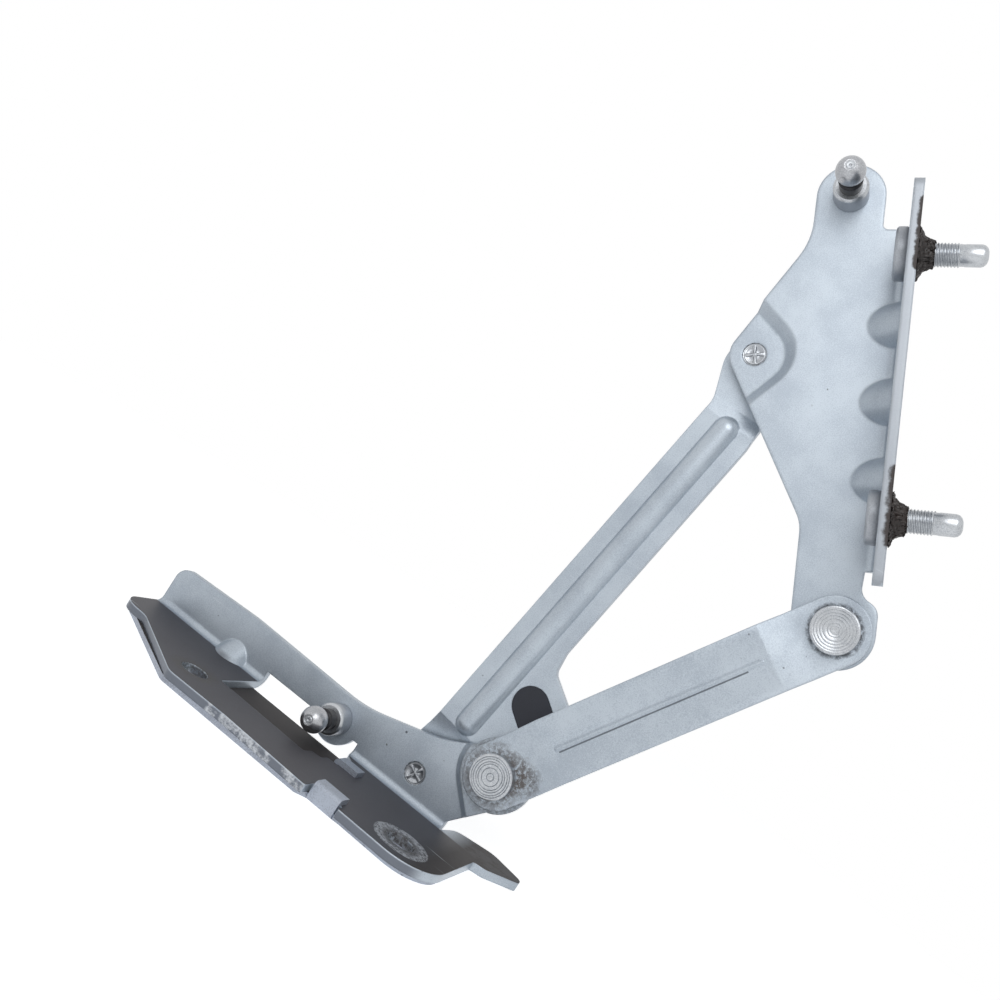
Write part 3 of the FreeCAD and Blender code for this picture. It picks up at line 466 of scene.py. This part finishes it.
pivot_grease = (0.05, 0.05, 0.055)
painted_rib_shade = (0.06, 0.07, 0.09)
short_link = pressing("short_link", 0.32 * MM)
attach(short_link, "short_arm")
finish_with(short_link, paint(
    "short link paint", silver, silver_shade, soft_crease=0.8 * MM,
    marks=[
        # Painted shade, with some dirt: a brown ring round the base pivot, just outside the rivet head, and
        # a brown patch beside it.
        (stain_group, dict(centre=base_short_pivot, plane=across_y, inner=8.3 * MM,
                           outer=12.4 * MM, ragged=1.3 * MM), brown_dirt_and_shade, 0.75, 0.9),
        (stain_group, dict(centre=base_short_pivot + Vector((0.0088, 0, 0.0052)), plane=across_y,
                           inner=2.5 * MM, outer=7.5 * MM, ragged=2.0 * MM), brown_dirt_and_shade, 0.8, 0.9),
        (stain_group, dict(centre=lid_short_pivot, plane=across_y, inner=8.2 * MM,
                           outer=9.4 * MM, ragged=0.6 * MM), pivot_grease, 0.85, 0.9),
        # Painted shade: a thin dark line beside the rib, which runs through to the link's back as well.
        (streak_group, dict(start=link_point(26, -1.35), end=link_point(95, -1.35), plane=across_y,
                            inner=0.15 * MM, outer=0.4 * MM, ragged=0.05 * MM),
         painted_rib_shade, 0.8, 0.2),
    ]))


# Rivets of the short link, turned from steel: wide flat heads that carry the rings of the tool
# that closed them, a shoulder through the link's bush and, on the lid, a tenon with a closed tail.
def lathe(name, profile, start, direction, steps=72, sharp=32):
    """Turned piece: (radius, distance) points from start along direction, spun about that axis."""
    bpy.ops.object.select_all(action="DESELECT")
    start = Vector(start)
    direction = Vector(direction).normalized()
    outward = direction.orthogonal().normalized()
    points = [start + outward * radius + direction * distance for radius, distance in profile]
    bpy.ops.mesh.primitive_plane_add(size=0.001, location=points[0])
    piece = bpy.context.object
    piece.name = name
    bpy.ops.object.mode_set(mode="EDIT")
    bpy.ops.mesh.select_mode(type="VERT")
    bpy.ops.mesh.select_all(action="SELECT")
    bpy.ops.mesh.merge(type="CENTER")
    for here, after in zip(points, points[1:]):
        bpy.ops.mesh.extrude_region_move(TRANSFORM_OT_translate={"value": after - here})
    bpy.ops.mesh.select_all(action="SELECT")
    bpy.ops.mesh.spin(steps=steps, angle=math.tau, center=start, axis=direction)
    bpy.ops.mesh.select_all(action="SELECT")
    bpy.ops.mesh.remove_doubles(threshold=0.001 * MM)
    bpy.ops.mesh.normals_make_consistent(inside=False)
    bpy.ops.object.mode_set(mode="OBJECT")
    bpy.ops.object.transform_apply(location=True, rotation=True, scale=True)
    bpy.ops.object.shade_smooth_by_angle(angle=math.radians(sharp))
    return piece


def ringed_face(rings, depth):
    """Profile points of a head's flat face with turned grooves, from its middle to its rim."""
    points = [(0.0, depth * 0.6), (0.35 * MM, depth * 0.2), (0.6 * MM, 0.0)]
    for ring in rings:
        points += [(ring - 0.22 * MM, 0.0), (ring - 0.05 * MM, depth), (ring + 0.12 * MM, depth * 0.2)]
    return points


def dress(piece, node_name, body, material):
    """The piece stands for a CAD node, rides on its body and has its finish."""
    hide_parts(node_name)
    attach(piece, body)
    finish_with(piece, material)


steel = paint("bright steel", (0.54, 0.56, 0.58), (0.36, 0.38, 0.41), roughness=0.30, metallic=0.95,
              specks=0.4, scratches=0.5)
forward_y = Vector((0, 1, 0))
head_radius = 8.0 * MM
head_height = 4.0 * MM
shoulder_radius = 5.5 * MM
tenon_radius = 4.05 * MM
tail_radius = 5.2 * MM
pad_front = 33.5 * MM
pad_back = 36.7 * MM
for node_name, body, rings, depth in (
        ("short_link_base_rivet", "short_arm", (1.36, 3.2, 4.48, 5.28, 6.24, 7.0), 0.24 * MM),
        ("lid_short_rivet", "lid", (1.5, 2.4, 3.76, 4.8, 5.76, 6.72), 0.13 * MM)):
    low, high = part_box(node_name)
    middle = centre_of(node_name)
    front = low[1]
    end = high[1] - front
    profile = ringed_face([ring * MM for ring in rings], depth)
    profile += [(7.4 * MM, 0.0), (7.75 * MM, 0.1 * MM), (7.95 * MM, 0.35 * MM), (head_radius, 0.8 * MM),
                (head_radius, head_height), (shoulder_radius, head_height)]
    if body == "lid":
        profile += [(shoulder_radius, pad_front - front), (tenon_radius, pad_front - front),
                    (tenon_radius, pad_back - front), (tail_radius, pad_back - front),
                    (tail_radius, end - 0.4 * MM), (tail_radius - 0.5 * MM, end)]
    else:
        profile += [(shoulder_radius, end)]
    profile.append((0.0, end))
    rivet = lathe(node_name + "_turned", profile, (middle.x, front, middle.z), forward_y)
    dress(rivet, node_name, body, steel)


# Rivets of the long link: the head is behind, and the end is staked flush with the plate in
# front by a cross-shaped punch, which leaves four wedge dents between two thin ridges.
def stake(rivet, middle, inner, outer, ridge_turn, ridge_width, inset, depth):
    """Dents between the ridges of a turned end: the faces of one ring, a quarter at a time."""
    bpy.ops.object.select_all(action="DESELECT")
    bpy.context.view_layer.objects.active = rivet
    rivet.select_set(True)
    for quarter in range(4):
        bpy.ops.object.mode_set(mode="EDIT")
        bpy.ops.mesh.select_mode(type="FACE")
        bpy.ops.mesh.select_all(action="DESELECT")
        bpy.ops.object.mode_set(mode="OBJECT")
        for face in rivet.data.polygons:
            away = face.center - middle
            distance = math.hypot(away.x, away.z)
            turn = (math.degrees(math.atan2(away.z, away.x)) - ridge_turn - 90 * quarter) % 360
            on_ring = face.normal.y < -0.7 and abs(away.y) < 0.3 * MM and inner < distance < outer
            face.select = on_ring and ridge_width < turn < 90 - ridge_width
        bpy.ops.object.mode_set(mode="EDIT")
        bpy.ops.mesh.inset(thickness=inset, depth=-depth * (1.0 if quarter % 2 else 0.75))
    bpy.ops.object.mode_set(mode="OBJECT")


for node_name, body, ridge_turn in (("base_long_rivet", "base", 62), ("lid_long_rivet", "lid", 32)):
    low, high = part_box(node_name)
    middle = centre_of(node_name)
    middle.y = low[1]
    end = high[1] - low[1]
    crown = 0.7 * MM
    profile = [
        (0.0, -0.02 * MM), (0.5 * MM, 0.0), (3.35 * MM, 0.0), (3.6 * MM, 0.06 * MM),
        (3.72 * MM, 0.5 * MM), (3.95 * MM, 0.5 * MM), (tenon_radius, 0.45 * MM),
        (tenon_radius, 3.0 * MM), (shoulder_radius, 3.0 * MM), (shoulder_radius, end - head_height),
        (head_radius, end - head_height), (head_radius, end - crown),
        (head_radius - 0.25 * crown, end - 0.35 * crown), (head_radius - crown, end), (0.0, end)]
    rivet = lathe(node_name + "_turned", profile, middle, forward_y)
    stake(rivet, middle, 0.6 * MM, 3.34 * MM, ridge_turn, 7, 0.42 * MM, 0.5 * MM)
    dress(rivet, node_name, body, steel)

# Ball studs for a gas spring: a painted collar with its chamfer worn bright, a neck and groove
# black with grease, and a satin ball whose flat tip keeps the lathe's centre mark.
greasy = paint("greasy neck", (0.028, 0.028, 0.032), (0.014, 0.013, 0.014), roughness=0.38,
               metallic=0.3, specks=0.0, scratches=0.3)
ball_steel = paint("satin ball", (0.50, 0.51, 0.53), (0.35, 0.36, 0.38), roughness=0.30,
                   metallic=0.95, specks=0.5, scratches=0.3)
collar_paint = paint("collar paint", (0.42, 0.44, 0.47), (0.33, 0.35, 0.385), roughness=0.42,
                     metallic=0.8, specks=0.6, scratches=0.6)
ball_radius = 5.0 * MM
ball_tip_radius = 2.0 * MM
groove_radius = 3.4 * MM
neck_radius = 4.0 * MM
collar_radius = 6.0 * MM
collar_chamfer = 0.9 * MM
ball_middle = math.sqrt(ball_radius ** 2 - ball_tip_radius ** 2)
ball_back = ball_middle + math.sqrt(ball_radius ** 2 - groove_radius ** 2)
neck_start = ball_back + 2.4 * MM
seat = ball_middle + 19.2 * MM
collar_start = seat - 8.2 * MM
first_turn = math.asin(ball_tip_radius / ball_radius)
last_turn = math.pi - math.asin(groove_radius / ball_radius)
for node_name, body in (("base_ball_stud", "base"), ("lid_ball_stud", "lid")):
    low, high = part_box(node_name)
    middle = centre_of(node_name)
    middle.y = low[1]
    end = high[1] - low[1]
    profile = [(0.0, 0.45 * MM), (0.3 * MM, 0.3 * MM), (0.5 * MM, 0.02 * MM), (1.15 * MM, 0.0),
               (1.35 * MM, 0.12 * MM), (1.55 * MM, 0.0), (1.9 * MM, 0.02 * MM)]
    for step in range(15):
        turn = first_turn + (last_turn - first_turn) * step / 14
        profile.append((ball_radius * math.sin(turn), ball_middle - ball_radius * math.cos(turn)))
    profile += [
        (groove_radius, neck_start - 0.5 * MM), (neck_radius, neck_start),
        (neck_radius + 0.12 * MM, neck_start + 0.3 * MM), (neck_radius - 0.1 * MM, neck_start + 0.6 * MM),
        (neck_radius - 0.1 * MM, collar_start), (collar_radius - collar_chamfer, collar_start),
        (collar_radius - 0.2 * MM, collar_start + collar_chamfer - 0.25 * MM),
        (collar_radius, collar_start + collar_chamfer + 0.15 * MM), (collar_radius, seat - 0.3 * MM),
        (collar_radius - 0.25 * MM, seat), (neck_radius, seat), (neck_radius, end - 1.0 * MM),
        (tail_radius, end - 1.0 * MM), (tail_radius, end - 0.3 * MM), (tail_radius - 0.4 * MM, end),
        (0.0, end)]
    stud = lathe(node_name + "_turned", profile, middle, forward_y)
    dress(stud, node_name, body, ball_steel)
    for material in (greasy, collar_paint, steel):
        stud.data.materials.append(material)
    for face in stud.data.polygons:
        distance = face.center.y - middle.y
        reach = math.hypot(face.center.x - middle.x, face.center.z - middle.z)
        if distance > collar_start + collar_chamfer:
            face.material_index = 2
        elif distance > collar_start - 0.01 * MM and reach > neck_radius + 0.3 * MM:
            face.material_index = 3
        elif distance > ball_back - 0.5 * MM:
            face.material_index = 1
        elif distance < 0.35 * MM and reach < 1.6 * MM:
            face.material_index = 3

# Flange studs of the lid: round heads on the inner side, painted with the bracket, and threaded
# ends with smooth pilot points. Brown sealant has dried round their roots.
flange_inner = 47.0 * MM
flange_outer = 50.2 * MM
stud_depth = 16.0 * MM
stud_length = 21.4 * MM
stud_head_height = 3.9 * MM
thread_radius = 3.92 * MM
thread_root = 3.52 * MM
thread_pitch = 1.0 * MM
thread_flank = 0.36 * MM
thread_crest = 0.13 * MM
thread_floor = 0.15 * MM
tooth = thread_radius - thread_root
point_radius = 3.62 * MM
point_length = 6.9 * MM
sealant = paint("dried sealant", (0.022, 0.012, 0.009), (0.006, 0.004, 0.004), roughness=0.42,
                metallic=0.0, specks=0.0, scratches=0.0)
sheet = flange_outer - flange_inner
shank_end = stud_head_height + sheet + stud_length
point_start = shank_end - point_length
thread_start = stud_head_height + sheet + 3.6 * MM
for node_name, height, seed in (("lid_upper_stud", upper_stud_up, 3), ("lid_lower_stud", lower_stud_up, 8)):
    start = (lid_origin + lid_right * (flange_inner - stud_head_height) + lid_up * (height * MM)
             + forward_y * stud_depth)
    profile = [
        (0.0, 0.0), (7.3 * MM, 0.0), (8.2 * MM, 0.22 * MM), (8.7 * MM, 0.75 * MM), (8.8 * MM, 1.3 * MM),
        (8.8 * MM, 3.3 * MM), (8.6 * MM, stud_head_height), (4.4 * MM, stud_head_height),
        (4.4 * MM, stud_head_height + sheet), (3.95 * MM, stud_head_height + sheet),
        (3.95 * MM, thread_start), (thread_root, thread_start + 0.5 * MM),
        (thread_root, point_start - 0.2 * MM), (point_radius, point_start),
        (point_radius, shank_end - 2.2 * MM), (3.35 * MM, shank_end - 1.3 * MM),
        (2.6 * MM, shank_end - 0.5 * MM), (1.5 * MM, shank_end - 0.1 * MM), (0.0, shank_end)]
    stud = lathe(node_name + "_turned", profile, start, lid_right)
    dress(stud, node_name, "lid", steel)
    stud.data.materials.append(collar_paint)
    for face in stud.data.polygons:
        if (face.center - start).dot(lid_right) < stud_head_height + 0.01 * MM:
            face.material_index = 1

    bpy.ops.object.select_all(action="DESELECT")
    bpy.ops.mesh.primitive_plane_add(size=0.001, location=(thread_root, 0, 0))
    thread = bpy.context.object
    bpy.ops.object.mode_set(mode="EDIT")
    bpy.ops.mesh.select_mode(type="VERT")
    bpy.ops.mesh.select_all(action="SELECT")
    bpy.ops.mesh.merge(type="CENTER")
    bpy.ops.object.mode_set(mode="OBJECT")
    bpy.ops.object.transform_apply(location=True, rotation=True, scale=True)
    bpy.ops.object.mode_set(mode="EDIT")
    bpy.ops.mesh.select_all(action="SELECT")
    for outward, onward in ((tooth, thread_flank), (0, thread_crest), (-tooth, thread_flank),
                            (0, thread_floor)):
        step = Vector((outward, 0, onward))
        bpy.ops.mesh.extrude_region_move(TRANSFORM_OT_translate={"value": step})
    bpy.ops.object.mode_set(mode="OBJECT")
    screw = thread.modifiers.new("thread", "SCREW")
    screw.angle = math.tau
    screw.screw_offset = thread_pitch
    screw.iterations = int((point_start - thread_start) / thread_pitch) - 1
    screw.steps = 32
    screw.render_steps = 32
    screw.use_merge_vertices = True
    screw.merge_threshold = 0.001 * MM
    bpy.ops.object.modifier_apply(modifier=screw.name)
    bpy.ops.object.mode_set(mode="EDIT")
    bpy.ops.mesh.select_all(action="SELECT")
    bpy.ops.mesh.remove_doubles(threshold=0.001 * MM)
    bpy.ops.mesh.select_all(action="DESELECT")
    bpy.ops.mesh.select_mode(type="EDGE")
    bpy.ops.mesh.select_non_manifold(extend=False)
    bpy.ops.mesh.fill_holes(sides=0)
    bpy.ops.mesh.select_all(action="SELECT")
    bpy.ops.mesh.normals_make_consistent(inside=False)
    bpy.ops.object.mode_set(mode="OBJECT")
    place = start + lid_right * thread_start
    thread.matrix_world = (Matrix.Translation(place)
                           @ Matrix((lid_up, forward_y * -1, lid_right)).transposed().to_4x4())
    bpy.ops.object.transform_apply(location=True, rotation=True, scale=True)
    bpy.ops.object.shade_smooth_by_angle(angle=math.radians(25))
    thread.data.materials.append(steel)
    bpy.ops.object.select_all(action="DESELECT")
    thread.select_set(True)
    stud.select_set(True)
    bpy.context.view_layer.objects.active = stud
    bpy.ops.object.join()

    root = start + lid_right * (stud_head_height + sheet)
    cone = [(0.0, 0.05 * MM), (9.0 * MM, 0.05 * MM), (8.4 * MM, 0.5 * MM), (7.4 * MM, 0.8 * MM),
            (6.4 * MM, 1.2 * MM), (5.7 * MM, 1.9 * MM), (5.2 * MM, 2.8 * MM), (4.8 * MM, 3.7 * MM),
            (4.5 * MM, 4.5 * MM), (4.2 * MM, 5.0 * MM), (3.6 * MM, 5.1 * MM), (0.0, 5.1 * MM)]
    crust = lathe(node_name.replace("stud", "sealant"), cone, root, lid_right, steps=56, sharp=60)
    bpy.ops.object.mode_set(mode="EDIT")
    bpy.ops.mesh.select_all(action="SELECT")
    bpy.ops.mesh.subdivide(number_cuts=1)
    bpy.ops.transform.vertex_random(offset=0.9 * MM, uniform=1.0, normal=0.0, seed=seed)
    bpy.ops.mesh.vertices_smooth(factor=0.4, repeat=2)
    bpy.ops.object.mode_set(mode="OBJECT")
    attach(crust, "lid")
    finish_with(crust, sealant)

# Plain steel and rubber for the small CAD pieces.
rubber = paint("dark rubber", (0.017, 0.020, 0.032), (0.012, 0.014, 0.022), roughness=0.55,
               metallic=0.0, specks=0.0, scratches=0.2)
for node_name, node in nodes.items():
    if "buffer" in node_name or "bush" in node_name or "washer" in node_name:
        finish_with(node, rubber)
    elif node_name == "base_short_rivet_tail":
        finish_with(node, steel)

# Studio: a pale floor and a white surround, which the camera and the metal's reflections both see.
# Soft light for dull surfaces comes from a second surround, darker to the left and brighter to the
# front right, and from one lamp in front, to the right and above.
floor_radius = 0.6
floor_drop = 0.6 * MM
floor_glow = 0.85
bpy.ops.object.select_all(action="DESELECT")
bpy.ops.mesh.primitive_circle_add(vertices=96, radius=floor_radius, fill_type="NGON",
                                 location=(0, 0, -floor_drop))
floor = bpy.context.object
floor.name = "floor"
floor_material = bpy.data.materials.new("pale floor")
floor_material.use_nodes = True
tree = floor_material.node_tree
floor_shader = tree.nodes["Principled BSDF"]
floor_shader.inputs["Base Color"].default_value = (0.9, 0.9, 0.9, 1)
floor_shader.inputs["Roughness"].default_value = 0.9
floor_shader.inputs["Specular IOR Level"].default_value = 0.0
floor_shader.inputs["Emission Color"].default_value = (1, 1, 1, 1)


def background_rays(tree):
    """1 for the rays that show the background: the camera's, and those that metal and glass turn."""
    ray = tree.nodes.new("ShaderNodeLightPath")
    shown = math_node(tree, "MAXIMUM", ray.outputs["Is Camera Ray"], ray.outputs["Is Glossy Ray"])
    return math_node(tree, "MAXIMUM", shown, ray.outputs["Is Transmission Ray"])


seen = math_node(tree, "MULTIPLY", background_rays(tree), floor_glow)
tree.links.new(seen, floor_shader.inputs["Emission Strength"])
finish_with(floor, floor_material)

world = bpy.data.worlds.new("surround")
bpy.context.scene.world = world
world.use_nodes = True
tree = world.node_tree
tree.nodes.clear()
direction = tree.nodes.new("ShaderNodeTexCoord").outputs["Generated"]


def profile_ramp(value, start, end, stops):
    """Smooth curve through (position, level) stops for a socket between start and end."""
    spread = tree.nodes.new("ShaderNodeMapRange")
    spread.inputs["From Min"].default_value = start
    spread.inputs["From Max"].default_value = end
    tree.links.new(value, spread.inputs["Value"])
    ramp = tree.nodes.new("ShaderNodeValToRGB")
    ramp.color_ramp.interpolation = "EASE"
    elements = ramp.color_ramp.elements
    while len(elements) < len(stops):
        elements.new(0.5)
    for element, (position, level) in zip(elements, stops):
        element.position = (position - start) / (end - start)
        element.color = (level, level, level, 1)
    tree.links.new(spread.outputs["Result"], ramp.inputs["Fac"])
    return ramp.outputs["Color"]


axes = tree.nodes.new("ShaderNodeSeparateXYZ")
tree.links.new(direction, axes.inputs["Vector"])
toward_front = math_node(tree, "MULTIPLY", axes.outputs["Y"], -1.0)
in_degrees = 57.2958
turn = math_node(tree, "ARCTAN2", axes.outputs["X"], toward_front)
turn = math_node(tree, "MULTIPLY", turn, in_degrees)
rise = math_node(tree, "ARCSINE", axes.outputs["Z"])
rise = math_node(tree, "MULTIPLY", rise, in_degrees)
round_about = profile_ramp(turn, -180, 180, [
    (-180, 0.5), (-140, 0.30), (-100, 0.08), (-62, 0.06), (-46, 0.06), (-34, 0.09), (-28, 0.35),
    (-21, 0.90), (-14, 0.88), (-4, 1.2), (14, 1.35), (30, 0.8), (55, 0.4), (90, 0.3), (120, 0.30),
    (150, 0.45), (180, 0.5)])
up_and_down = profile_ramp(rise, -90, 90, [
    (-90, 0.22), (-52, 0.10), (-36, 0.10), (-27, 0.45), (-18, 1.15), (-4, 1.12), (4, 1.05),
    (12, 0.7), (22, 0.36), (34, 0.14), (60, 0.10), (90, 0.2)])
glow = math_node(tree, "MULTIPLY", round_about, up_and_down)
glow_strength = 1.45
glow_everywhere = 0.02
glow = math_node(tree, "MULTIPLY", glow, glow_strength)
glow = math_node(tree, "ADD", glow, glow_everywhere)
soft_light = tree.nodes.new("ShaderNodeBackground")
soft_light.inputs["Color"].default_value = (0.93, 0.96, 1.0, 1)
tree.links.new(glow, soft_light.inputs["Strength"])
plain = tree.nodes.new("ShaderNodeBackground")
choose = tree.nodes.new("ShaderNodeMixShader")
tree.links.new(background_rays(tree), choose.inputs["Fac"])
tree.links.new(soft_light.outputs["Background"], choose.inputs[1])
tree.links.new(plain.outputs["Background"], choose.inputs[2])
plain.inputs["Color"].default_value = (1, 1, 1, 1)
surround_out = tree.nodes.new("ShaderNodeOutputWorld")
tree.links.new(choose.outputs["Shader"], surround_out.inputs["Surface"])


def soft_lamp(name, position, target, size, energy):
    """Square area lamp that faces a point."""
    bpy.ops.object.light_add(type="AREA", location=position)
    lamp = bpy.context.object
    lamp.name = name
    lamp.data.size = size
    lamp.data.energy = energy
    away = Vector(position) - Vector(target)
    lamp.rotation_euler = away.to_track_quat("Z", "Y").to_euler()
    return lamp


lamp_place = (0.14, -0.36, 0.42)
lamp_target = (0.06, 0.03, 0.15)
soft_lamp("key lamp", lamp_place, lamp_target, size=0.30, energy=0.8)

# Camera at the photograph's place: low, to the right and turned to the left, with a slight roll.
bpy.ops.object.camera_add()
camera = bpy.context.object
camera.name = "camera"
camera.data.sensor_width = 36.0
camera.data.lens = 39.6
camera.data.clip_start = 0.01
rightward = Vector((0.7816, 0.3095, 0.5416))
forward = Vector((-0.3527, 0.9354, -0.0257))
upward = rightward.cross(forward)
camera_place = (0.1433, -0.3440, 0.1253)
camera.matrix_world = (Matrix.Translation(camera_place)
                       @ Matrix((rightward, upward, -forward)).transposed().to_4x4())
bpy.context.scene.camera = camera
bpy.context.scene.view_settings.view_transform = "Standard"
